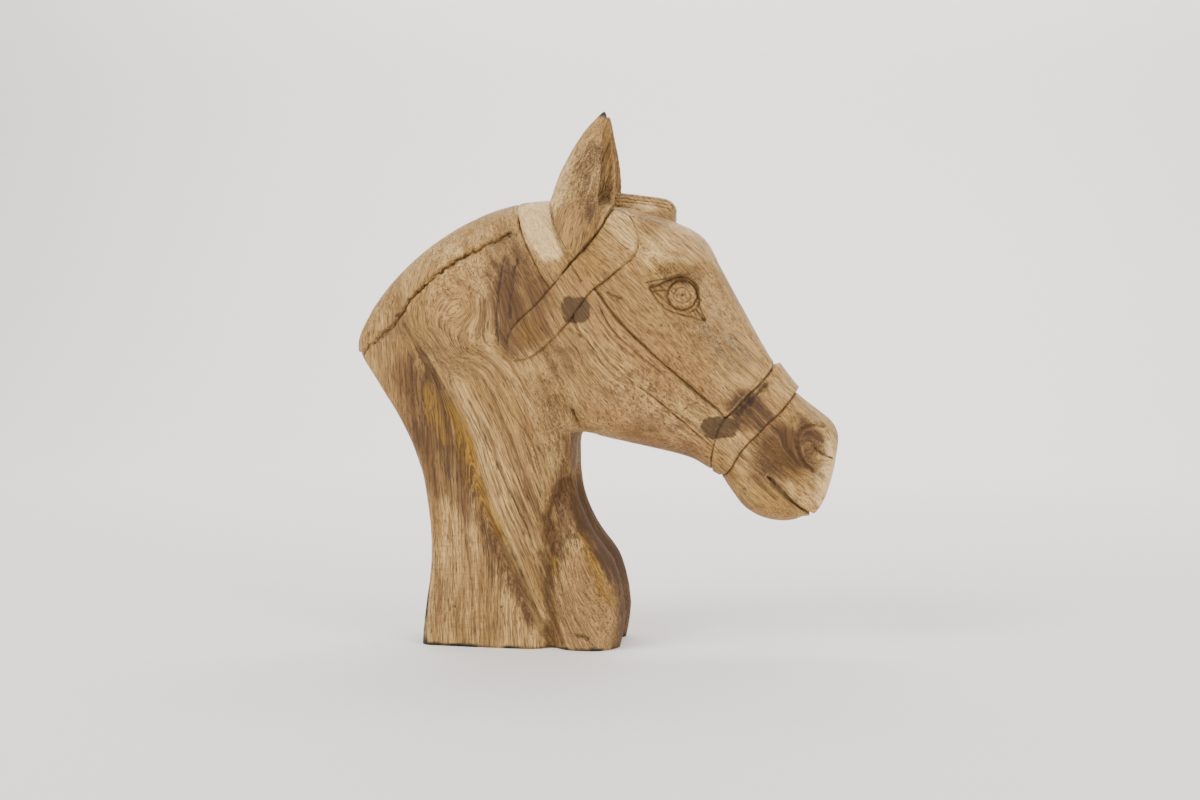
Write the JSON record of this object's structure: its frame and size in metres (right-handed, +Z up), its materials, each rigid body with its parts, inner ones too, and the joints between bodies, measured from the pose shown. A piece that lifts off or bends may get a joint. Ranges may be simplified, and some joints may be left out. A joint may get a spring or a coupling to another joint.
{
  "type": "carved wooden horse head sculpture",
  "caption": "Carved wood horse head and neck on a flat sawn base, with pricked ears, a forelock, a clipped mane and a plain halter in low relief.",
  "frame": {"origin": "middle of the flat underside, on the mid-plane of the block", "axes": "+X the way the horse looks, +Y to the horse's left, +Z up"},
  "size_m": [0.3925, 0.107, 0.43],
  "materials": {
    "carved_wood": "satin, pale weathered grain"
  },
  "bodies": {
    "root": {"horse_head": "carved_wood"}
  },
  "joints": []
}
